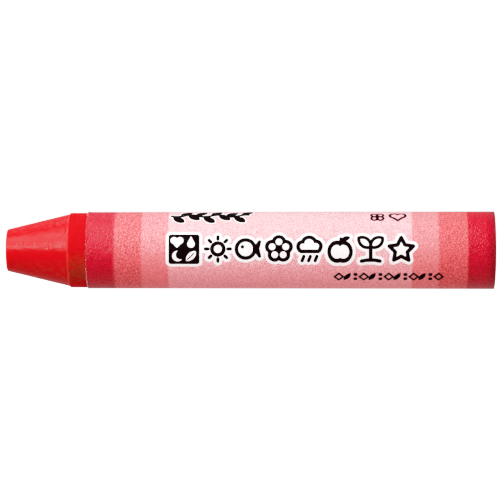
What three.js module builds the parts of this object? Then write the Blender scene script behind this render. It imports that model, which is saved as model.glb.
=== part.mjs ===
import * as THREE from "three";

// A thick school crayon: a moulded wax stick, and the printed paper label wound twice round its barrel
// and pasted to itself. Millimetres, +Z up. The crayon lies along X with its writing tip towards -X. The
// origin is on the surface it rests on, under the middle of its length.

const LENGTH = 70;
const SIDES = 32; // flats round each coaxial surface, in step so that none cross; it rests on one of them

// Wax stick. Distances along it are measured from the writing tip.
const TIP_RADIUS = 3.04;
const TIP_ROUND = 0.15;
const CONE_END = 8.81;
const CONE_END_RADIUS = 5.15;
const SHOULDER_END = 9.2;
const SHOULDER_RADIUS = 5.37;
const TAIL_RADIUS = 5.455; // the barrel widens a little towards the tail, so that it leaves its mould
const TAIL_ROUND = 0.25;
const ROUND_STEPS = 4;

// Paper label: one sheet, two turns and a short lap, loose enough on the wax to slip off over the tip.
const LABEL_START = 11.68;
const PAPER = 0.045;
const WAX_GAP = 0.01;
const TURN_GAP = 0.02;
const LAP_SIDES = 2;
const OUTER_EDGE_SIDE = 22; // the sheet's outer edge, low on the back
const INNER_EDGE_SIDE = OUTER_EDGE_SIDE - (2 * SIDES + LAP_SIDES);

// Paste between the label's turns, under its outer edge.
const PASTE_SIDES = 4;
const PASTE_CLEARANCE = 0.004;

const SIDE_ANGLE = (2 * Math.PI) / SIDES;
const DRAFT = (TAIL_RADIUS - SHOULDER_RADIUS) / (LENGTH - SHOULDER_END);
const LABEL_LENGTH = LENGTH - LABEL_START;
const TURN_PITCH = PAPER + TURN_GAP;

function barrelRadius(distance) {
  return SHOULDER_RADIUS + DRAFT * (distance - SHOULDER_END);
}

// Points of a quarter round about (radius, distance), starting at an angle from the outward direction.
function quarterRound(radius, distance, round, fromAngle) {
  const points = [];
  for (let step = 0; step <= ROUND_STEPS; step += 1) {
    const angle = fromAngle + (Math.PI / 2) * (step / ROUND_STEPS);
    points.push(new THREE.Vector2(radius + round * Math.cos(angle), distance + round * Math.sin(angle)));
  }
  return points;
}

// Half outline of the stick, from the middle of the flat tip to the middle of the flat tail.
function waxOutline() {
  return [
    new THREE.Vector2(0, 0),
    ...quarterRound(TIP_RADIUS - TIP_ROUND, TIP_ROUND, TIP_ROUND, -Math.PI / 2),
    new THREE.Vector2(CONE_END_RADIUS, CONE_END),
    new THREE.Vector2(SHOULDER_RADIUS, SHOULDER_END),
    ...quarterRound(TAIL_RADIUS - TAIL_ROUND, LENGTH - TAIL_ROUND, TAIL_ROUND, 0),
    new THREE.Vector2(0, LENGTH),
  ];
}

function waxGeometry() {
  const geometry = new THREE.LatheGeometry(waxOutline(), SIDES, SIDE_ANGLE / 2);
  return geometry.rotateZ(-Math.PI / 2);
}

// Radius of the sheet's inner face at the label's tip end, at a number of sides along the winding. Each
// turn lies close round the one below it, and climbs one pitch as it reaches the inner edge.
function sheetRadius(side) {
  const turnsBelow = Math.floor((side - INNER_EDGE_SIDE) / SIDES);
  return barrelRadius(LABEL_START) + WAX_GAP + TURN_PITCH * turnsBelow;
}

// End view of a strip that follows the winding, from one side to another, between two heights above the
// sheet's inner face.
function woundStrip(firstSide, lastSide, low, high) {
  const innerFace = [];
  const outerFace = [];
  for (let side = firstSide; side <= lastSide; side += 1) {
    const angle = (side + 0.5) * SIDE_ANGLE;
    const direction = new THREE.Vector2(-Math.cos(angle), -Math.sin(angle));
    innerFace.push(direction.clone().multiplyScalar(sheetRadius(side) + low));
    outerFace.unshift(direction.clone().multiplyScalar(sheetRadius(side) + high));
  }
  return new THREE.Shape([...innerFace, ...outerFace]);
}

// A wound strip as long as the label, widening with the barrel towards the tail.
function woundGeometry(strip) {
  const geometry = new THREE.ExtrudeGeometry(strip, { depth: LABEL_LENGTH, bevelEnabled: false });
  const position = geometry.attributes.position;
  for (let i = 0; i < position.count; i += 1) {
    const radius = Math.hypot(position.getX(i), position.getY(i));
    const widened = (radius + DRAFT * position.getZ(i)) / radius;
    position.setXY(i, position.getX(i) * widened, position.getY(i) * widened);
  }
  return geometry.rotateY(Math.PI / 2).translate(LABEL_START, 0, 0);
}

function namedMesh(name, geometry, look) {
  const mesh = new THREE.Mesh(geometry, new THREE.MeshStandardMaterial(look));
  mesh.name = name;
  return mesh;
}

function waxStick() {
  return namedMesh("wax_stick", waxGeometry(), { color: 0xd8172a, roughness: 0.42, metalness: 0 });
}

function paperLabel() {
  const sheet = woundStrip(INNER_EDGE_SIDE, OUTER_EDGE_SIDE, 0, PAPER);
  return namedMesh("paper_label", woundGeometry(sheet), { color: 0xf3cdcf, roughness: 0.6, metalness: 0 });
}

function lapPaste() {
  const film = woundStrip(
    OUTER_EDGE_SIDE - PASTE_SIDES,
    OUTER_EDGE_SIDE,
    PASTE_CLEARANCE - TURN_GAP,
    -PASTE_CLEARANCE,
  );
  return namedMesh("lap_paste", woundGeometry(film), { color: 0xe9e0c8, roughness: 0.5, metalness: 0 });
}

const crayon = new THREE.Group();
crayon.add(waxStick(), paperLabel(), lapPaste());
const lowestPoint = new THREE.Box3().setFromObject(crayon).min.z;
crayon.position.set(-LENGTH / 2, 0, -lowestPoint);

export default crayon;
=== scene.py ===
import math

import bpy
import numpy as np
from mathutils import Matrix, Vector, noise


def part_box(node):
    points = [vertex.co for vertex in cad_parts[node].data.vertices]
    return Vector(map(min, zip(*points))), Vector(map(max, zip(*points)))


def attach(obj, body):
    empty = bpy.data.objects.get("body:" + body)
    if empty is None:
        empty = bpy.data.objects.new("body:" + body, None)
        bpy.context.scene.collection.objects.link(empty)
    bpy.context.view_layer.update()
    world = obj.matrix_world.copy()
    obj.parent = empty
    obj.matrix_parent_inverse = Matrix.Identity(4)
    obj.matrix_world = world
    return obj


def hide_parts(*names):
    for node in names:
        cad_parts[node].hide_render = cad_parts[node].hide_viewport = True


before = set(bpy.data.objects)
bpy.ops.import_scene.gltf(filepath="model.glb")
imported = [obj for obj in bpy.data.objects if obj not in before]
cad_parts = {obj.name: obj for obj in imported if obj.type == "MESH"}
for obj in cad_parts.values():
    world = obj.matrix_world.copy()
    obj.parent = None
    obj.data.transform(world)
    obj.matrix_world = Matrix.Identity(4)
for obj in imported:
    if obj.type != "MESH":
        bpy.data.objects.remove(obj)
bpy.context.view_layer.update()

# A thick wax crayon lying on a pale floor: the moulded wax stick, the paper label wound round it twice,
# the paste under the label's lap, and the label's printed marks. Sizes are in millimetres, and distances
# along the crayon are measured from its writing tip, as in the CAD model.

MM = 0.001
TURN = 2 * math.pi

LENGTH = 70.0
TIP_RADIUS = 3.04
TIP_ROUND = 0.2
TIP_CROWN = 0.14
CONE_END = 8.81
CONE_END_RADIUS = 5.15
RIDGE = CONE_END + 0.2
SHOULDER_END = 9.2
SHOULDER_RADIUS = 5.37
TAIL_RADIUS = 5.455
TAIL_ROUND = 0.25
TAIL_SINK = 0.12

LABEL_START = 11.68
PAPER = 0.045
WAX_GAP = 0.01
TURN_GAP = 0.02
TURN_PITCH = PAPER + TURN_GAP
LABEL_TURNS = 2 + 2 / 32
LAP_ANGLE = math.radians(-163.1)  # where the sheet's outer edge lies, low on the back
CLIMB = 1 / 32  # share of a turn over which the sheet climbs onto its inner edge

DRAFT = (TAIL_RADIUS - SHOULDER_RADIUS) / (LENGTH - SHOULDER_END)

wax_low, wax_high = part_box("wax_stick")
TIP_X = wax_low.x
AXIS_Z = (wax_low.z + wax_high.z) / 2


def barrel_radius(distance):
    return SHOULDER_RADIUS + DRAFT * (distance - SHOULDER_END)


def label_radius(distance):
    """Outer radius of the label where two turns lie on each other."""
    return barrel_radius(distance) + WAX_GAP + TURN_PITCH + PAPER


def on_stick(distance, angle, radius):
    """Where a point of the stick is, in metres. Angle 0 faces the front (-Y) and a quarter turn the top."""
    x = TIP_X + distance * MM
    y = -radius * MM * np.cos(angle)
    z = AXIS_Z + radius * MM * np.sin(angle)
    return np.stack(np.broadcast_arrays(x, y, z), axis=-1)


def smooth_step(t):
    t = np.clip(t, 0, 1)
    return t * t * (3 - 2 * t)


# ---------------------------------------------------------------- meshes


def grid_faces(rows, columns, start=0, wrap=False):
    """Quads between the points of a grid that is stored row by row."""
    across = columns if wrap else columns - 1
    row, column = np.meshgrid(np.arange(rows - 1), np.arange(across), indexing="ij")
    nearer = start + row * columns + column
    beside = start + row * columns + (column + 1) % columns
    return np.stack([nearer, beside, beside + columns, nearer + columns], axis=-1).reshape(-1, 4)


def new_piece(name, points, faces, materials, body):
    mesh = bpy.data.meshes.new(name)
    mesh.from_pydata(np.asarray(points).tolist(), [], [list(map(int, face)) for face in faces])
    mesh.update()
    for material in materials:
        mesh.materials.append(material)
    mesh.shade_smooth()
    piece = bpy.data.objects.new(name, mesh)
    bpy.context.scene.collection.objects.link(piece)
    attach(piece, body)
    return piece


# ---------------------------------------------------------------- materials


class Tree:
    """Adds nodes to a node tree and links them."""

    def __init__(self, tree):
        self.tree = tree

    def add(self, kind, settings=None, **inputs):
        node = self.tree.nodes.new(kind)
        for key, value in (settings or {}).items():
            setattr(node, key, value)
        for key, value in inputs.items():
            self.feed(node.inputs[key.replace("_", " ")], value)
        return node

    def feed(self, socket, value):
        if isinstance(value, bpy.types.NodeSocket):
            self.tree.links.new(value, socket)
        else:
            socket.default_value = value

    def math(self, operation, *values):
        node = self.add("ShaderNodeMath", {"operation": operation})
        for socket, value in zip(node.inputs, values):
            self.feed(socket, value)
        return node.outputs[0]

    def ramp(self, value, stops):
        """Colours that follow a value from stop to stop, each a place from 0 to 1 and a colour."""
        node = self.add("ShaderNodeValToRGB", Fac=value)
        elements = node.color_ramp.elements
        while len(elements) < len(stops):
            elements.new(0.5)
        for element, (position, color) in zip(elements, stops):
            element.position = position
            element.color = (*color, 1)
        return node.outputs["Color"]

    def mix(self, factor, one, other):
        """One colour where the factor is 0, the other where it is 1."""
        node = self.add("ShaderNodeMix", {"data_type": "RGBA"})
        self.feed(node.inputs["Factor"], factor)
        self.feed(node.inputs["A"], one if isinstance(one, bpy.types.NodeSocket) else (*one, 1))
        self.feed(node.inputs["B"], other if isinstance(other, bpy.types.NodeSocket) else (*other, 1))
        return node.outputs["Result"]

    def spread(self, value, low, high, to_low, to_high):
        """A value's range from low to high, spread over another one and held at its ends."""
        node = self.add("ShaderNodeMapRange", {"clamp": True}, Value=value)
        for key, number in (("From Min", low), ("From Max", high), ("To Min", to_low), ("To Max", to_high)):
            node.inputs[key].default_value = number
        return node.outputs["Result"]


class Nodes(Tree):
    """The node tree of a new material, with noise and bump in the object's own coordinates."""

    def __init__(self, name):
        self.material = bpy.data.materials.new(name)
        self.material.use_nodes = True
        super().__init__(self.material.node_tree)
        self.shader = self.tree.nodes["Principled BSDF"]
        self.place = self.tree.nodes.new("ShaderNodeTexCoord").outputs["Object"]

    def surface(self, **inputs):
        """Sets inputs of the surface shader, each to a value or to what another node gives."""
        for key, value in inputs.items():
            self.feed(self.shader.inputs[key.replace("_", " ")], value)

    def scaled(self, along, around):
        """Object coordinates scaled along the crayon and across it."""
        node = self.add("ShaderNodeVectorMath", {"operation": "MULTIPLY"})
        self.feed(node.inputs[0], self.place)
        node.inputs[1].default_value = (along, around, around)
        return node.outputs[0]

    def noise(self, size_mm, detail=2.0, roughness=0.5, stretch=1.0):
        """Noise with grains of about the given size. A stretch above 1 draws them out along the crayon."""
        per_metre = 1 / (size_mm * MM)
        vector = self.scaled(per_metre / stretch, per_metre)
        node = self.add("ShaderNodeTexNoise", Vector=vector, Scale=1.0, Detail=detail, Roughness=roughness)
        return node.outputs["Fac"]

    def tinted(self, color, factor):
        """A colour made lighter or darker by a factor."""
        node = self.add("ShaderNodeVectorMath", {"operation": "SCALE"})
        self.feed(node.inputs[0], color)
        self.feed(node.inputs["Scale"], factor)
        return node.outputs[0]

    def bump(self, height, depth_mm, strength=1.0, normal=None):
        node = self.add("ShaderNodeBump", Height=height, Distance=depth_mm * MM, Strength=strength)
        if normal is not None:
            self.feed(node.inputs["Normal"], normal)
        return node.outputs["Normal"]

    def wandering(self, size_mm, reach, detail=2.0):
        """A value that wanders about zero, by up to about half the reach each way."""
        return self.math("MULTIPLY", self.math("SUBTRACT", self.noise(size_mm, detail), 0.5), reach)

    def distance(self):
        """Distance from the tip in millimetres."""
        x = self.add("ShaderNodeSeparateXYZ", Vector=self.place).outputs["X"]
        return self.math("MULTIPLY", self.math("SUBTRACT", x, TIP_X), 1 / MM)

    def above_axis(self):
        """Height above the crayon's axis in millimetres."""
        z = self.add("ShaderNodeSeparateXYZ", Vector=self.place).outputs["Z"]
        return self.math("MULTIPLY", self.math("SUBTRACT", z, AXIS_Z), 1 / MM)


NOISE_RANGE = (0.3, 0.7)  # where most of the noise's values lie

WAX_RED = (0.45, 0.0015, 0.005)
WAX_PALE = (0.48, 0.005, 0.008)
# painted shade: the wax turns darker and browner low on the crayon, on its shaded side
WAX_PAINTED_SHADE = (0.42, 0.025, 0.016)
WAX_RIDGE_HIGHLIGHT = (0.58, 0.032, 0.03)  # painted highlight along the raised line
RUBBED_RED = (0.43, 0.0012, 0.005)
# painted shade on the collar: darker and browner lower down
COLLAR_PAINTED_SHADE = (0.28, 0.034, 0.012)

WAX_IOR = 1.45
WAX_SCATTER = 0.6
WAX_SCATTER_DEPTHS = (1.0, 0.12, 0.08)  # how far red, green and blue light get, for each unit of the scale
WAX_SCATTER_SCALE = 2.0

# The grain of the wax in millimetres: its size, and how deep it is.
CLOUD = 1.6
RUB = 0.6
RUB_DEPTH = 0.08
MOULD_LINES = 2.0
MOULD_LINES_STRETCH = 0.09  # below 1, so that the lines run round the crayon
MOULD_LINES_DEPTH = 0.05
WAX_ROUGHNESS = (0.17, 0.26)
WAX_SPECULAR = 0.12
WAX_PAINTED_SHADE_HEIGHTS = (-2.6, -1.2)  # above the axis: full painted shade below the first, none above the second
# distance from the ridge where its painted highlight is full, and where it ends
RIDGE_HIGHLIGHT_FADE = (0.04, 0.12)

SPECKS = 0.17
SPECKS_DEPTH = 0.03
COLLAR_RUB = 0.7
COLLAR_WANDER = 3.0
# painted shade on the collar: full below the first height, faint above the second
COLLAR_PAINTED_SHADE_HEIGHTS = (-2.9, -0.4)
COLLAR_SHADE_FADE_HEIGHTS = (-4.5, -3.9)  # the lowest stretch, where the painted shade gives way to the plain red again
COLLAR_ROUGHNESS = (0.6, 0.42)
COLLAR_SPECULAR = 0.015


def wax_body(m):
    """Wax lets light in a little way, most of all red light."""
    m.surface(IOR=WAX_IOR, Subsurface_Weight=WAX_SCATTER)
    m.surface(Subsurface_Radius=WAX_SCATTER_DEPTHS, Subsurface_Scale=WAX_SCATTER_SCALE * MM)


def wax_material():
    """The wax as it left the mould, with fine lines round it and a gloss, plus painted shade low down and a
    painted highlight along the ridge.
    """
    m = Nodes("wax")
    cloud = m.noise(CLOUD, detail=3.0)
    rub = m.noise(RUB, detail=3.0, roughness=0.6)
    lines = m.noise(MOULD_LINES, stretch=MOULD_LINES_STRETCH)
    color = m.mix(m.spread(cloud, 0.35, 0.7, 0.0, 0.4), WAX_RED, WAX_PALE)
    # Painted shade: darker and browner below the axis, in patches of the rub noise.
    low = m.spread(m.above_axis(), *WAX_PAINTED_SHADE_HEIGHTS, 1.0, 0.0)
    painted_shade = m.math("MULTIPLY", low, m.spread(rub, 0.42, 0.62, 0.0, 0.5))
    color = m.mix(painted_shade, color, WAX_PAINTED_SHADE)
    # Painted highlight: a pale line along the raised ridge at the cone's end.
    from_ridge = m.math("ABSOLUTE", m.math("SUBTRACT", m.distance(), RIDGE))
    color = m.mix(m.spread(from_ridge, *RIDGE_HIGHLIGHT_FADE, 1.0, 0.0), color, WAX_RIDGE_HIGHLIGHT)
    relief = m.bump(rub, RUB_DEPTH, 0.7, m.bump(lines, MOULD_LINES_DEPTH, 0.8))
    m.surface(Base_Color=color, Roughness=m.spread(rub, *NOISE_RANGE, *WAX_ROUGHNESS), Normal=relief)
    m.surface(Specular_IOR_Level=WAX_SPECULAR)
    wax_body(m)
    return m.material


def rubbed_wax_material():
    """The bare wax next to the label: dull from handling, with painted shade that makes it darker and
    browner lower down, in specks.
    """
    m = Nodes("rubbed_wax")
    rub = m.noise(COLLAR_RUB)
    specks = m.noise(SPECKS, detail=0.0)
    wander = m.math("MULTIPLY", m.math("SUBTRACT", rub, 0.5), COLLAR_WANDER)
    height = m.math("ADD", m.above_axis(), wander)
    # Painted shade: browner and darker lower down, in specks, but mostly not on the lowest stretch.
    low = m.spread(height, *COLLAR_PAINTED_SHADE_HEIGHTS, 1.0, 0.05)
    shade_fades_below = m.spread(height, *COLLAR_SHADE_FADE_HEIGHTS, 0.12, 1.0)
    painted_shade = m.math("MULTIPLY", m.spread(rub, 0.36, 0.54, 0.65, 1.0), m.math("MULTIPLY", low, shade_fades_below))
    speckled = m.math("MULTIPLY", painted_shade, m.spread(specks, 0.38, 0.60, -0.2, 1.6))
    relief = m.bump(rub, RUB_DEPTH, 0.6, m.bump(specks, SPECKS_DEPTH))
    m.surface(Base_Color=m.mix(speckled, RUBBED_RED, COLLAR_PAINTED_SHADE), Normal=relief)
    m.surface(Roughness=m.spread(rub, 0.35, 0.6, *COLLAR_ROUGHNESS), Specular_IOR_Level=COLLAR_SPECULAR)
    wax_body(m)
    return m.material


# Where each printed band starts, its colour, and how strongly the printing screen mottles all of it and
# its weaker colours.
PRINT_BANDS = [
    (LABEL_START - 1.0, (0.43, 0.0012, 0.016), (1.2, 0.1)),
    (15.6, (0.62, 0.088, 0.098), (1.5, 0.7)),
    (19.55, (0.71, 0.178, 0.192), (0.9, 0.4)),
    (23.4, (0.78, 0.335, 0.357), (0.9, 0.5)),
    (58.0, (0.71, 0.182, 0.192), (0.9, 0.4)),
    (62.0, (0.62, 0.083, 0.090), (1.5, 0.7)),
    (66.0, (0.43, 0.0012, 0.016), (1.2, 0.1)),
]
BAND_EDGE = 0.05
BAND_WANDER = (0.8, 0.12)  # size of the waves in a band's edge, and their reach
SCREEN_DOTS = 0.15
DARKEST_DOT = 0.2
UNPRINTED = -0.045  # where the print ends, from the label's mean front edge: the teeth's tips are bare
UNPRINTED_WANDER = (0.5, 0.16)
BARE_PAPER = (0.94, 0.935, 0.92)
BARE_PAPER_DARK = tuple(0.97 * channel for channel in BARE_PAPER)
BARE_MOTTLE = 1.2

# The grain of the paper in millimetres, and its gloss.
FIBRES = 0.17
PAPER_RELIEF = 0.09
PAPER_MOTTLE = 0.9
PAPER_ROUGHNESS = (0.2, 0.4)
PAPER_IOR = 1.48
PAPER_SPECULAR = 0.27

INK = (0.0025, 0.0003, 0.0008)
THIN_INK = (0.012, 0.001, 0.003)
INK_GRAIN = 0.2
INK_ROUGHNESS = (0.4, 0.55)
INK_SPECULAR = 0.01
INK_RELIEF = 0.4 * PAPER_RELIEF

PASTE_PALE = (0.72, 0.66, 0.5)
PASTE_DARK = (0.6, 0.52, 0.36)
PASTE_LUMPS = 0.4
PASTE_RELIEF = 0.01
PASTE_ROUGHNESS = (0.3, 0.5)


def paper_surface(m, color):
    """The fibres, mottling and gloss that the printed and the bare paper share."""
    fibres = m.noise(FIBRES, detail=0.0)
    mottle = m.noise(PAPER_MOTTLE)
    fine, coarse = m.spread(fibres, *NOISE_RANGE, 0.94, 1.03), m.spread(mottle, *NOISE_RANGE, -0.02, 0.02)
    shade = m.math("ADD", fine, coarse)
    m.surface(Base_Color=m.tinted(color, shade), Normal=m.bump(fibres, PAPER_RELIEF))
    m.surface(Roughness=m.spread(fibres, *NOISE_RANGE, *PAPER_ROUGHNESS))
    m.surface(IOR=PAPER_IOR, Specular_IOR_Level=PAPER_SPECULAR)


def print_material():
    """The label's stripes, printed through a screen, and its bare toothed edge."""
    m = Nodes("label_print")
    place = m.math("DIVIDE", m.math("ADD", m.distance(), m.wandering(*BAND_WANDER, 3.0)), LENGTH)
    colors, screens = [], []
    for (_, color, screen), (edge, next_color, next_screen) in zip(PRINT_BANDS, PRINT_BANDS[1:]):
        before, after = (edge - BAND_EDGE / 2) / LENGTH, (edge + BAND_EDGE / 2) / LENGTH
        colors += [(before, color), (after, next_color)]
        screens += [(before, (*screen, 0)), (edge / LENGTH, (*next_screen, 0))]
    dots = m.wandering(SCREEN_DOTS, 1.0, 0.0)
    screen = m.add("ShaderNodeSeparateColor", Color=m.ramp(place, screens)).outputs
    strength = m.math("ADD", m.math("MULTIPLY", dots, screen[0]), 1.0)
    richness = m.math("SUBTRACT", 1.0, m.math("MULTIPLY", dots, screen[1]))
    rich = m.add("ShaderNodeGamma", Color=m.ramp(place, colors), Gamma=richness).outputs["Color"]
    printed = m.tinted(rich, m.math("MAXIMUM", strength, DARKEST_DOT))
    margin = m.math("ADD", m.distance(), m.wandering(*UNPRINTED_WANDER))
    at_edge = m.math("LESS_THAN", margin, LABEL_START + UNPRINTED)
    paper_surface(m, m.mix(at_edge, printed, BARE_PAPER))
    return m.material


def bare_paper_material():
    m = Nodes("label_bare_paper")
    paper_surface(m, m.mix(m.noise(BARE_MOTTLE), BARE_PAPER, BARE_PAPER_DARK))
    return m.material


def ink_material():
    m = Nodes("black_ink")
    grain = m.noise(INK_GRAIN, roughness=0.6)
    m.surface(Base_Color=m.mix(m.spread(grain, 0.5, 0.75, 0.0, 0.5), INK, THIN_INK))
    m.surface(Roughness=m.spread(grain, *NOISE_RANGE, *INK_ROUGHNESS), Normal=m.bump(grain, INK_RELIEF))
    m.surface(Specular_IOR_Level=INK_SPECULAR)
    return m.material


def paste_material():
    m = Nodes("paste")
    lumps = m.noise(PASTE_LUMPS, detail=3.0)
    m.surface(Base_Color=m.mix(lumps, PASTE_PALE, PASTE_DARK), Normal=m.bump(lumps, PASTE_RELIEF))
    m.surface(Roughness=m.spread(lumps, *NOISE_RANGE, *PASTE_ROUGHNESS))
    return m.material


# ---------------------------------------------------------------- wax stick

STICK_COLUMNS = 288
FINE_STEP = 0.09
LONG_STEP = 1.5
BARE_BARREL = 0.3  # how far the shown surface of the bare wax runs on under the label
COLLAR_SEAM = 0.1  # how far the rubbed wax starts before the shoulder's end
BEAD_ROUND = 0.12  # radius of the thin raised line at the cone's end
SHOULDER_FOOT = (SHOULDER_END - 0.05, SHOULDER_RADIUS - 0.04)
SHOULDER_ROUND = 0.1
SHOULDER_ROUND_MIDDLE = (SHOULDER_END + 0.06, barrel_radius(SHOULDER_END) - SHOULDER_ROUND)
SHOULDER_STEP = 0.07
TIP_RINGS = 12
TAIL_RINGS = 14
SMALLEST_RING = 0.35
TAIL_RIM = 0.6  # the tail's face starts to sink this far inside its outer radius
TAIL_SINK_WIDTH = 2.5
TAIL_RELIEF_FADE = 0.1
CONE_SLOPE = (CONE_END_RADIUS - TIP_RADIUS) / CONE_END
# Relief of the moulded wax: the height of its waves in millimetres, and their number to the millimetre.
WAX_WAVES = ((0.012, 0.55), (0.004, 2.6))
TURNING_RELIEF = 0.0012
TURNING_WAVES = (31.0, 13.7)  # radians to the millimetre
# Small dents in the bare wax: distance from the tip, angle in degrees, size and depth.
DENTS = [
    (6.76, 49, 0.16, 0.10),
    (3.1, 12, 0.22, 0.03),
    (5.2, -24, 0.3, 0.03),
    (9.05, 33, 0.28, 0.07),
    (9.1, -4, 0.2, 0.06),
    (8.95, -38, 0.34, 0.06),
    (10.3, 8, 0.35, 0.03),
    (0.2, 60, 0.25, 0.08),
    (0.15, -30, 0.2, 0.06),
    (7.4, 152, 0.3, 0.08),
    (2.2, 205, 0.3, 0.06),
]


def arc_points(distance, radius, round_radius, from_angle, to_angle, count):
    """Points of a round in the outline, as (distance, radius). Angle 0 points away from the axis."""
    angles = np.radians(np.linspace(from_angle, to_angle, count))
    return [(distance + round_radius * math.sin(a), radius + round_radius * math.cos(a)) for a in angles]


def line_points(start, end, step):
    count = max(int(round(math.dist(start, end) / step)), 1)
    return [tuple(p) for p in np.linspace(start, end, count + 1)]


def stick_outline():
    """Half outline of the stick as (distance, radius), from the middle of the tip to that of the tail."""
    flat = TIP_RADIUS - TIP_ROUND
    rings = np.linspace(SMALLEST_RING, flat, TIP_RINGS)
    points = [(-TIP_CROWN * (1 - (ring / flat) ** 2), ring) for ring in rings]
    points += arc_points(TIP_ROUND, flat, TIP_ROUND, -80, -14, 6)
    bead_start = RIDGE - BEAD_ROUND
    bead_foot = CONE_END_RADIUS + (bead_start - CONE_END) * CONE_SLOPE
    points += line_points(points[-1], (bead_start, bead_foot), FINE_STEP)[1:]
    points += arc_points(RIDGE, CONE_END_RADIUS - 0.5 * BEAD_ROUND, BEAD_ROUND, -50, 25, 7)
    points += line_points(points[-1], SHOULDER_FOOT, SHOULDER_STEP)[1:]
    points += arc_points(*SHOULDER_ROUND_MIDDLE, SHOULDER_ROUND, -40, 0, 5)
    under_label = LABEL_START + BARE_BARREL
    points += line_points(points[-1], (under_label, barrel_radius(under_label)), FINE_STEP)[1:]
    tail_start = (LENGTH - TAIL_ROUND, barrel_radius(LENGTH - TAIL_ROUND))
    points += line_points(points[-1], tail_start, LONG_STEP)[1:]
    points += arc_points(tail_start[0], tail_start[1] - TAIL_ROUND, TAIL_ROUND, 10, 90, 7)
    rings = np.linspace(TAIL_RADIUS - TAIL_ROUND - SMALLEST_RING, SMALLEST_RING, TAIL_RINGS)
    sink = smooth_step((TAIL_RADIUS - TAIL_RIM - rings) / TAIL_SINK_WIDTH)
    points += [(LENGTH - TAIL_SINK * s, ring) for s, ring in zip(sink, rings)]
    return np.array(points)


def wax_relief(distance, angle, radius):
    """How far the moulded and rubbed surface stands proud of the true one, in millimetres."""
    places = [Vector(place) for place in on_stick(distance, angle, radius) / MM]
    relief = np.array([sum(high * noise.noise(p * often) for high, often in WAX_WAVES) for p in places])
    fine, coarse = TURNING_WAVES
    relief += TURNING_RELIEF * (np.sin(distance * fine) + np.sin(distance * coarse + 1))
    for at, degrees, size, depth in DENTS:
        around = (angle - math.radians(degrees) + math.pi) % TURN - math.pi
        away = np.hypot(distance - at, around * radius) / size
        relief -= depth * np.exp(-(away**2))
    return relief


def build_stick(glossy, rubbed):
    outline = stick_outline()
    angles = np.linspace(0, TURN, STICK_COLUMNS, endpoint=False)
    distance = np.repeat(outline[:, 0], STICK_COLUMNS)
    radius = np.repeat(outline[:, 1], STICK_COLUMNS)
    angle = np.tile(angles, len(outline))
    relief = wax_relief(distance, angle, radius)
    shown = 1 - smooth_step((distance - LABEL_START) / BARE_BARREL)
    tail = smooth_step((distance - LENGTH + TAIL_RELIEF_FADE) / TAIL_RELIEF_FADE)
    points = on_stick(distance, angle, radius + relief * np.maximum(shown, tail))
    tip, tail_middle = len(points), len(points) + 1
    points = np.vstack([points, on_stick(-TIP_CROWN, 0.0, 0.0), on_stick(LENGTH - TAIL_SINK, 0.0, 0.0)])
    faces = list(grid_faces(len(outline), STICK_COLUMNS, wrap=True))
    last = (len(outline) - 1) * STICK_COLUMNS
    for column in range(STICK_COLUMNS):
        beside = (column + 1) % STICK_COLUMNS
        faces.append((tip, beside, column))
        faces.append((tail_middle, last + column, last + beside))
    stick = new_piece("wax_stick_surface", points, faces, [glossy, rubbed], "stick")
    middle = np.repeat((outline[:-1, 0] + outline[1:, 0]) / 2, STICK_COLUMNS)
    on_collar = (middle > SHOULDER_END - COLLAR_SEAM) & (middle < LABEL_START + BARE_BARREL)
    stick.data.polygons.foreach_set("material_index", [*on_collar.astype(int), *[0] * (2 * STICK_COLUMNS)])
    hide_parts("wax_stick")


# ---------------------------------------------------------------- paper label

COLUMNS_PER_TURN = 448
COLUMNS_PER_TOOTH = 6
TOOTH_DEPTH = 0.12
TOOTH_UNEVEN = 0.35  # share by which a tooth is deeper or shallower than that
TOOTH_SEED = 4
EDGE_ZONE = 0.6  # how far behind its cut edge the sheet is shaped by it
EDGE_LIFT = 0.02  # how far the outer turn's front edge stands off, all round
CREASE_LIFT = 0.05  # and further at one place near the top
CREASE_ANGLE = math.radians(84)
CREASE_WIDTH = 0.12
LIFT_FADE = 0.05  # share of a turn over which the lift begins
SHEET_STEPS = [0.0, 0.14, 0.32, EDGE_ZONE, *np.linspace(2 * EDGE_ZONE, LENGTH - LABEL_START, 40)]


def wound_angle(turns):
    return LAP_ANGLE + (LABEL_TURNS - turns) * TURN


def turns_below(turns):
    """How many turns of the sheet lie under a place along the winding, with the climb between them."""
    whole = np.floor(turns + CLIMB)
    climbed = smooth_step((turns + CLIMB - whole) / CLIMB)
    return np.where(whole < 1, 0, whole - 1 + climbed)


def cut_edge(columns):
    """Distance of the sheet's toothed front edge from the tip."""
    rng = np.random.default_rng(TOOTH_SEED)
    phase = np.arange(columns) / COLUMNS_PER_TOOTH
    tooth = np.abs((phase % 1) - 0.5) * 2
    teeth = int(phase[-1]) + 2
    deep = 1 + TOOTH_UNEVEN * rng.uniform(-1, 1, teeth)
    return LABEL_START + TOOTH_DEPTH * (tooth * deep[phase.astype(int)] - 0.5)


def edge_lift(turns):
    """How far the front edge of the outer turn stands off the turn below it."""
    from_crease = (wound_angle(turns) + math.pi) % TURN - math.pi - CREASE_ANGLE
    lift = EDGE_LIFT + CREASE_LIFT * np.exp(-((from_crease / CREASE_WIDTH) ** 2))
    return lift * smooth_step((turns - LABEL_TURNS + 1 + LIFT_FADE) / LIFT_FADE)


def sheet_face(turns, edge, height):
    """Points of one face of the wound sheet, a height above its inner face, row by row along it."""
    rows = []
    for step in SHEET_STEPS:
        near_edge = max(1 - step / EDGE_ZONE, 0)
        distance = np.minimum(LABEL_START + step + near_edge * (edge - LABEL_START), LENGTH)
        radius = barrel_radius(distance) + WAX_GAP + TURN_PITCH * turns_below(turns) + height
        rows.append(on_stick(distance, wound_angle(turns), radius + edge_lift(turns) * near_edge**2))
    return np.vstack(rows)


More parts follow.
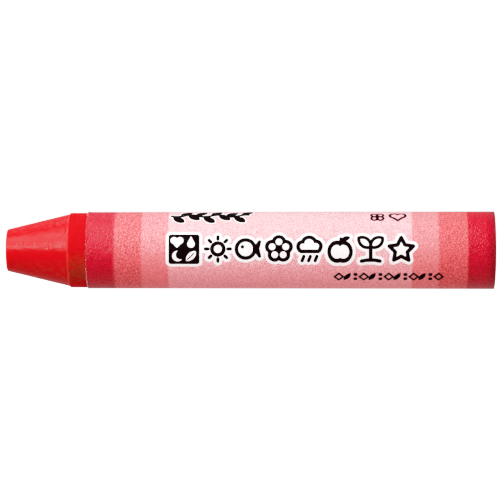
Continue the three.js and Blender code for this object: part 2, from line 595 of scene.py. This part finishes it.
def sheet_rim(rows, columns):
    """Quads round the sheet, between its outer face and its inner one, which is numbered after it."""
    inner = rows * columns
    last = (rows - 1) * columns
    rim = []
    for a in range(columns - 1):
        rim.append((a, a + 1, inner + a + 1, inner + a))
    for a in range(last, last + columns - 1):
        rim.append((a + 1, a, inner + a, inner + a + 1))
    for a in range(0, last, columns):
        rim.append((a + columns, a, inner + a, inner + a + columns))
    for a in range(columns - 1, last + columns - 1, columns):
        rim.append((a, a + columns, inner + a + columns, inner + a))
    return rim


def build_label(print_look, bare_look):
    """The wound sheet: printed on its outer face, bare on its inner face and its cut edges."""
    rows, columns = len(SHEET_STEPS), int(LABEL_TURNS * COLUMNS_PER_TURN) + 1
    turns = np.linspace(0, LABEL_TURNS, columns)
    edge = cut_edge(columns)
    points = np.vstack([sheet_face(turns, edge, PAPER), sheet_face(turns, edge, 0.0)])
    outer_faces = grid_faces(rows, columns)[:, ::-1]
    inner_faces = grid_faces(rows, columns, start=rows * columns)
    faces = [*outer_faces, *inner_faces, *sheet_rim(rows, columns)]
    label = new_piece("paper_label_sheet", points, faces, [print_look, bare_look], "label")
    number = np.arange(len(faces))
    label.data.polygons.foreach_set("material_index", (number >= len(outer_faces)).astype(int))
    label.data.polygons.foreach_set("use_smooth", number < len(outer_faces) + len(inner_faces))
    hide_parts("paper_label")


# ---------------------------------------------------------------- printed marks

# The marks are drawn on the flat sheet: u along the crayon and v up the label, in millimetres. A shape is
# a function of the place p = (u, v), and gives the distance to its edge, below zero inside it.

STROKE = 0.54
HALO = 0.4  # unprinted rim round the large marks
INK_GRID = 0.08
BLACK_LIFT = 0.006
WHITE_LIFT = 0.003
INK_DEPTH = 0.004
INK_AREA_U = (LABEL_START + 9, LENGTH - 5)
INK_AREA_V = (-5.4, 8.4)
CUT_MARGIN = 0.02  # a mark's edge cuts no side of a grid cell nearer to its ends than this share of it


def moved(p, u, v, degrees=0.0):
    turn = math.radians(degrees)
    du, dv = p[0] - u, p[1] - v
    return du * math.cos(turn) + dv * math.sin(turn), dv * math.cos(turn) - du * math.sin(turn)


def union(*shapes):
    return np.minimum.reduce(shapes)


def outline(shape, width=STROKE):
    return np.abs(shape) - width / 2


def disc(p, radius, u=0.0, v=0.0):
    return np.hypot(p[0] - u, p[1] - v) - radius


def oval(p, half_width, half_height):
    return (np.hypot(p[0] / half_width, p[1] / half_height) - 1) * min(half_width, half_height)


def rounded_box(p, half_width, half_height, corner):
    out_u = np.abs(p[0]) - half_width + corner
    out_v = np.abs(p[1]) - half_height + corner
    outside = np.hypot(np.maximum(out_u, 0), np.maximum(out_v, 0))
    return outside + np.minimum(np.maximum(out_u, out_v), 0) - corner


def leaf(p, length, breadth):
    """A pointed leaf along u: where two equal discs overlap."""
    offset = (length**2 - breadth**2) / (4 * breadth)
    return np.maximum(disc(p, offset + breadth / 2, v=offset), disc(p, offset + breadth / 2, v=-offset))


def line(p, points, width=STROKE):
    """A line with round ends through the points."""
    nearest = np.full(p[0].shape, np.inf)
    for (u0, v0), (u1, v1) in zip(points, points[1:]):
        du, dv = u1 - u0, v1 - v0
        share = np.clip(((p[0] - u0) * du + (p[1] - v0) * dv) / (du**2 + dv**2), 0, 1)
        nearest = np.minimum(nearest, np.hypot(p[0] - u0 - share * du, p[1] - v0 - share * dv))
    return nearest - width / 2


def ring_of_points(count, radius, first_degrees=90.0):
    angles = np.radians(first_degrees + 360 / count * np.arange(count))
    return [(radius * math.cos(a), radius * math.sin(a)) for a in angles]


def sun(p):
    rays = [line(p, [(0.79 * u, 0.79 * v), (u, v)], 0.46) for u, v in ring_of_points(8, 1.78)]
    return union(outline(disc(p, 0.84)), *rays)


def fish(p):
    tail = line(p, [(0.8, 0.0), (1.6, 1.05), (1.35, 0.0), (1.6, -1.05), (0.8, 0.0)], 0.44)
    return union(outline(oval(moved(p, -0.4, 0), 1.3, 1.3)), tail, disc(p, 0.25, -0.85, 0.3))


def flower(p):
    petals = union(*[disc(p, 0.75, u, v) for u, v in ring_of_points(5, 1.02)])
    return union(outline(petals), disc(p, 0.38))


def cloud(p):
    puffs = union(disc(p, 0.68, -0.95, 0.35), disc(p, 0.95, -0.05, 0.75), disc(p, 0.72, 0.9, 0.4))
    base = rounded_box(moved(p, 0, 0.1), 1.5, 0.45, 0.4)
    rain = [line(p, [(u, -1.05), (u - 0.25, -1.7)], 0.46) for u in (-0.8, 0.12, 1.05)]
    return union(outline(union(puffs, base)), *rain)


def apple(p):
    body = union(oval(moved(p, -0.45, -0.4), 1.1, 1.3), oval(moved(p, 0.45, -0.4), 1.1, 1.3))
    stalk = line(p, [(0, 0.6), (0.12, 1.5)], 0.42)
    return union(outline(body), stalk, leaf(moved(p, 0.8, 1.5, 20), 1.4, 0.7))


def sprout(p):
    leaves = [outline(leaf(moved(p, 0.85 * side, 0.95, 38 * side), 2.1, 1.25), 0.46) for side in (-1, 1)]
    ground = line(p, [(-1.3, -1.75), (-0.6, -1.6), (0.6, -1.6), (1.3, -1.75)])
    return union(*leaves, line(p, [(0, 0.2), (0, -1.6)]), ground)


def star(p):
    corners = zip(ring_of_points(5, 1.8), ring_of_points(5, 0.9, 126.0))
    points = [point for pair in corners for point in pair]
    return line(moved(p, 0, -0.15), [*points, points[0]])


def heart(p, size):
    radius = 0.29 * size
    lobes = [disc(p, radius, side * 0.24 * size, 0.16 * size) for side in (-1, 1)]
    return union(*lobes, rounded_box(moved(p, 0, -0.04 * size, 45), radius, radius, 0.04))


def drop(p, size):
    taper = np.maximum(np.abs(p[0]) * 1.9 + p[1] - 0.52 * size, -0.05 * size - p[1]) / 2.1
    return union(disc(p, 0.31 * size, 0, -0.14 * size), taper)


def crescent(p, size):
    return np.maximum(disc(p, 0.5 * size), -disc(p, 0.42 * size, 0.26 * size, 0.12 * size))


def badge(p):
    """A dark square with four light signs in it."""
    signs = union(
        heart(moved(p, -1.0, 0.98), 1.75),
        drop(moved(p, 1.0, 0.98), 1.75),
        crescent(moved(p, -0.92, -0.98), 1.55),
        leaf(moved(p, 1.0, -0.98, 45), 2.0, 1.0),
    )
    vein = line(p, [(0.45, -1.52), (1.4, -0.58)], 0.16)
    return np.maximum(badge_edge(p), -np.maximum(signs, -vein))


def badge_edge(p):
    return rounded_box(p, 2.2, 2.15, 0.35)


def vine(p):
    """A spray of leaves on a wavy stem."""
    stem = line(p, [(u, vine_height(u)) for u in np.linspace(-5.6, 5.2, 40)], 0.55)
    leaves = []
    for i, u in enumerate(np.linspace(-5.2, 4.6, 10)):
        side = 1 if i % 2 else -1
        place = moved(p, u + 0.55, vine_height(u) + 0.75 * side, 38 * side)
        leaves.append(leaf(place, 2.1, 1.2))
    return union(stem, *leaves)


def vine_height(u):
    return 0.3 * math.sin(1.6 * u)


def small_flower(p):
    return union(*[outline(disc(p, 0.42, u, v), 0.32) for u, v in ring_of_points(4, 0.62, 45.0)])


def small_heart(p):
    return outline(heart(p, 2.1), 0.36)


def border(p):
    """A row of diamonds, leaves and pairs of dots."""
    shapes = []
    for i, u in enumerate(np.linspace(-7.1, 7.1, 13)):
        place = moved(p, u, 0)
        if i % 3 == 0:
            shapes.append(outline((np.abs(place[0]) + np.abs(place[1]) - 0.62) / math.sqrt(2), 0.3))
        elif i % 3 == 1:
            shapes.append(leaf(moved(place, 0, 0, 55), 1.7, 0.72))
        else:
            shapes.append(union(disc(place, 0.3, 0, 0.42), disc(place, 0.3, 0, -0.42)))
    return union(*shapes)


LARGE_MARKS = [sun, fish, flower, cloud, apple, sprout, star]
CLOSED_MARKS = [sun, fish, flower, cloud, apple, star]
POCKET = 0.8  # radius that is white in the middle of a closed mark
LARGE_MARKS_START = 30.5
LARGE_MARKS_PITCH = 4.34
LARGE_MARKS_HEIGHT = 0.18
# Each mark, its middle on the label, and the width of the light rim round it.
MARKS = [
    (mark, LARGE_MARKS_START + i * LARGE_MARKS_PITCH, LARGE_MARKS_HEIGHT, HALO)
    for i, mark in enumerate(LARGE_MARKS)
]
MARKS += [
    (badge, 25.68, 0.14, HALO),
    (vine, 29.5, 6.05, 0.14),
    (small_flower, 53.2, 5.75, None),
    (small_heart, 56.1, 5.75, None),
    (border, 54.8, -4.15, None),
]


def sheet_grid():
    """The part of the flat sheet that is printed with marks."""
    u = np.arange(*INK_AREA_U, INK_GRID)
    v = np.arange(*INK_AREA_V, INK_GRID)
    return np.meshgrid(u, v, indexing="ij")


def black_shape(u, v):
    shape = np.full(u.shape, 1.0)
    for mark, middle_u, middle_v, _ in MARKS:
        shape = np.minimum(shape, mark(moved((u, v), middle_u, middle_v)))
    return shape


def white_shape(u, v):
    shape = np.full(u.shape, 1.0)
    for mark, middle_u, middle_v, rim in MARKS:
        if rim is not None:
            place = moved((u, v), middle_u, middle_v)
            filled = badge_edge(place) if mark is badge else mark(place)
            if mark in CLOSED_MARKS:
                filled = union(filled, disc(place, POCKET))
            shape = np.minimum(shape, filled - rim)
    return shape


def traced(shape):
    """Polygons of the grid cells, cut along the shape's edge. Returns grid places and faces."""
    inside = shape < 0
    corners = ((0, 0), (1, 0), (1, 1), (0, 1))
    touched = inside[:-1, :-1] | inside[1:, :-1] | inside[1:, 1:] | inside[:-1, 1:]
    numbers, places, faces = {}, [], []

    def number(key, place):
        if key not in numbers:
            numbers[key] = len(places)
            places.append(place)
        return numbers[key]

    for i, j in np.argwhere(touched):
        face = []
        for (ai, aj), (bi, bj) in zip(corners, corners[1:] + corners[:1]):
            a, b = (i + ai, j + aj), (i + bi, j + bj)
            if inside[a]:
                face.append(number(a, a))
            if inside[a] != inside[b]:
                first, last = min(a, b), max(a, b)
                share = shape[first] / (shape[first] - shape[last])
                share = float(np.clip(share, CUT_MARGIN, 1 - CUT_MARGIN))
                place = (first[0] + share * (last[0] - first[0]), first[1] + share * (last[1] - first[1]))
                face.append(number((first, last), place))
        faces.append(face)
    return np.array(places), faces


def build_ink(name, shape, lift, material):
    """A thin closed film of ink on the label, in the shape that is drawn on the flat sheet."""
    u, v = sheet_grid()
    places, faces = traced(shape(u, v))
    distance = u[0, 0] + places[:, 0] * INK_GRID
    angle = (v[0, 0] + places[:, 1] * INK_GRID) / label_radius(distance)
    top = on_stick(distance, angle, label_radius(distance) + lift)
    bottom = on_stick(distance, angle, label_radius(distance) + lift - INK_DEPTH)
    count = len(places)
    edges = {(a, b) for face in faces for a, b in zip(face, face[1:] + face[:1])}
    rim = [(a, b) for a, b in edges if (b, a) not in edges]
    solid = list(faces)
    solid += [[count + corner for corner in reversed(face)] for face in faces]
    solid += [(b, a, count + a, count + b) for a, b in sorted(rim)]
    ink = new_piece(name, np.vstack([top, bottom]), solid, [material], "label")
    ink.data.polygons.foreach_set("use_smooth", [max(face) < count or min(face) >= count for face in solid])


# ---------------------------------------------------------------- paste under the lap

PASTE_TURNS = 4 / 32
PASTE_CLEARANCE = 0.004
PASTE_COLUMNS = 26
PASTE_ROWS = 240
PASTE_MARGIN = (0.5, 0.6)  # how far short of the label's two ends the paste stops
PASTE_REACH = (0.9, 0.25)  # share of those turns that it fills, and by how much that varies
PASTE_INSET = 0.002  # share of a turn by which it stays inside the sheet's outer edge
PASTE_RIPPLE = 0.003
PASTE_SEED = 11


def smoothed_noise(rng, count, width):
    """Random numbers between -1 and 1, averaged over a width of neighbours."""
    return np.convolve(rng.uniform(-1, 1, count + width - 1), np.ones(width) / width, "valid")


def build_paste(material):
    """A film of paste between the last two turns, with a ragged inner edge."""
    rng = np.random.default_rng(PASTE_SEED)
    share = np.linspace(0, 1, PASTE_COLUMNS)
    distance = np.linspace(LABEL_START + PASTE_MARGIN[0], LENGTH - PASTE_MARGIN[1], PASTE_ROWS)[:, None]
    reach, ragged = PASTE_REACH
    inner = LABEL_TURNS - PASTE_TURNS * (reach + ragged * smoothed_noise(rng, PASTE_ROWS, 9))
    outer = LABEL_TURNS - PASTE_INSET * (1 + smoothed_noise(rng, PASTE_ROWS, 5))
    turns = inner[:, None] + (outer - inner)[:, None] * share
    angle = wound_angle(turns)
    ripple = PASTE_RIPPLE * np.sin(distance * 3.1 + share * 5) * share * (1 - share)
    above = barrel_radius(distance) + WAX_GAP + TURN_PITCH * turns_below(turns) + ripple
    top = on_stick(distance, angle, above - PASTE_CLEARANCE)
    bottom = on_stick(distance, angle, above - TURN_GAP + PASTE_CLEARANCE)
    count = PASTE_ROWS * PASTE_COLUMNS
    upper = grid_faces(PASTE_ROWS, PASTE_COLUMNS)[:, ::-1]
    edges = {(int(a), int(b)) for face in upper for a, b in zip(face, np.roll(face, -1))}
    rim = [(b, a, count + a, count + b) for a, b in sorted(edges) if (b, a) not in edges]
    faces = [*upper, *grid_faces(PASTE_ROWS, PASTE_COLUMNS, start=count), *rim]
    points = np.vstack([top.reshape(-1, 3), bottom.reshape(-1, 3)])
    paste = new_piece("lap_paste_film", points, faces, [material], "label")
    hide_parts("lap_paste")


# ---------------------------------------------------------------- camera, stage and light

CAMERA_DISTANCE = 0.413
CAMERA_FOOT = 0.0091  # how far the camera stands towards the tail from where it looks
CAMERA_LENS = 206.6
SENSOR_WIDTH = 36
CAMERA_CLIP = (0.01, 20)
AIM = Vector((-0.00005, 0.0, AXIS_Z + 0.00003))


def add_camera():
    data = bpy.data.cameras.new("camera")
    data.sensor_width = SENSOR_WIDTH
    data.lens = CAMERA_LENS
    data.clip_start, data.clip_end = CAMERA_CLIP
    camera = bpy.data.objects.new("camera", data)
    camera.location = (AIM.x + CAMERA_FOOT, -CAMERA_DISTANCE, AIM.z)
    camera.rotation_euler = (AIM - camera.location).to_track_quat("-Z", "Y").to_euler()
    bpy.context.scene.collection.objects.link(camera)
    bpy.context.scene.camera = camera


WHITE = 1.6  # the scene-linear value that is pictured as pure white
BACKGROUND = (WHITE * 1.05, WHITE * 1.05, WHITE * 1.05)
FLOOR_REACH = 4.0
FLOOR_SHADE = (0.6, 0.6, 0.6, 1)
FLOOR_GLOW = 1.38
SKY = (0.5, 0.5, 0.5)
DIM_FRONT = (0.04, 0.04, 0.04)  # what the gloss mirrors of the room in front
DIM_FRONT_FADE = (0.0, 0.8)  # share of depth over which that becomes the sky
GROUND = (0.76, 0.41, 0.41)
HORIZON = 0.3  # how far above and below the horizon the ground turns into the sky
BACK_BOUNCE = (2.0, 1.45, 1.45)  # light thrown up at the crayon by the floor behind it
BACK_BOUNCE_FROM = (0.0, 0.62, -0.78)
BACK_BOUNCE_SPREAD = (0.55, 0.95)


def add_floor():
    """A pale floor that glows, so that it is seen as pure white. The crayon isn't lit by it."""
    low = AXIS_Z - label_radius(LENGTH) * MM
    corners = [(x * FLOOR_REACH, y * FLOOR_REACH, low) for x, y in ((-1, -1), (1, -1), (1, 1), (-1, 1))]
    mesh = bpy.data.meshes.new("floor")
    mesh.from_pydata(corners, [], [(0, 1, 2, 3)])
    m = Nodes("floor")
    m.surface(Base_Color=FLOOR_SHADE, Roughness=0.8)
    m.surface(Emission_Color=(1, 1, 1, 1), Emission_Strength=FLOOR_GLOW)
    mesh.materials.append(m.material)
    floor = bpy.data.objects.new("floor", mesh)
    bpy.context.scene.collection.objects.link(floor)
    floor.visible_diffuse = False
    floor.visible_glossy = False


def add_world():
    """A white studio: pure white as a background, and dimmer as light."""
    world = bpy.data.worlds.new("studio")
    world.use_nodes = True
    m = Tree(world.node_tree)
    direction = m.add("ShaderNodeTexCoord").outputs["Generated"]
    axes = m.add("ShaderNodeSeparateXYZ", Vector=direction).outputs
    ray = m.add("ShaderNodeLightPath").outputs
    light = m.mix(m.spread(axes["Z"], -HORIZON, HORIZON, 0.0, 1.0), GROUND, SKY)
    bounce = m.add("ShaderNodeVectorMath", {"operation": "DOT_PRODUCT"})
    m.feed(bounce.inputs[0], direction)
    bounce.inputs[1].default_value = BACK_BOUNCE_FROM
    light = m.mix(m.spread(bounce.outputs["Value"], *BACK_BOUNCE_SPREAD, 0.0, 1.0), light, BACK_BOUNCE)
    mirrored = m.mix(m.spread(axes["Y"], *DIM_FRONT_FADE, 0.0, 1.0), DIM_FRONT, SKY)
    light = m.mix(ray["Is Glossy Ray"], light, mirrored)
    shown = m.mix(ray["Is Camera Ray"], light, BACKGROUND)
    m.feed(world.node_tree.nodes["Background"].inputs["Color"], shown)
    bpy.context.scene.world = world


# Azimuth and elevation are in degrees. Azimuth 0 is in front of the crayon, and 90 past its tail.
LAMPS = {
    "key": dict(azimuth=-44, elevation=44, distance=0.5, size=(0.34, 0.3), radiance=9.7),
    "side": dict(azimuth=-33, elevation=15.5, distance=0.5, size=(0.11, 0.16), radiance=35.0),
    "overhead": dict(
        azimuth=-53, elevation=67, distance=0.26, size=(0.045, 0.44), radiance=7.4, level=True
    ),
    "tail_fill": dict(azimuth=112, elevation=8, distance=0.5, size=(0.3, 0.12), radiance=12.0),
}


def add_softbox(name, azimuth, elevation, distance, size, radiance, level=False):
    """A rectangular lamp that faces the crayon, or hangs level and faces the floor."""
    light = bpy.data.lights.new(name, "AREA")
    light.shape = "RECTANGLE"
    light.size, light.size_y = size
    light.energy = radiance * math.pi * size[0] * size[1]
    lamp = bpy.data.objects.new(name, light)
    side, up = math.radians(azimuth), math.radians(elevation)
    away = Vector((math.sin(side) * math.cos(up), -math.cos(side) * math.cos(up), math.sin(up)))
    lamp.location = Vector((0, 0, AXIS_Z)) + distance * away
    if not level:
        lamp.rotation_euler = away.to_track_quat("Z", "Y").to_euler()
    bpy.context.scene.collection.objects.link(lamp)


# Scene-linear values, and the values they are pictured as.
FILM_SHOULDER = [
    (0.3, 0.3),
    (0.52, 0.52),
    (0.7, 0.66),
    (0.84, 0.75),
    (1.1, 0.845),
    (1.35, 0.905),
    (1.5, 0.945),
]


def set_film():
    """Colours are pictured as they are up to a soft shoulder, as on film."""
    settings = bpy.context.scene.view_settings
    settings.view_transform = "Standard"
    settings.use_curve_mapping = True
    mapping = settings.curve_mapping
    mapping.white_level = (WHITE, WHITE, WHITE)
    curve = mapping.curves[3]  # the one that all three channels share
    for light, shown in FILM_SHOULDER:
        curve.points.new(light / WHITE, shown)
    mapping.update()


build_stick(wax_material(), rubbed_wax_material())
bare_paper = bare_paper_material()
build_label(print_material(), bare_paper)
build_paste(paste_material())
build_ink("label_marks_white", white_shape, WHITE_LIFT, bare_paper)
build_ink("label_marks_black", black_shape, BLACK_LIFT, ink_material())
add_camera()
add_floor()
add_world()
for lamp_name, lamp in LAMPS.items():
    add_softbox(lamp_name, **lamp)
set_film()
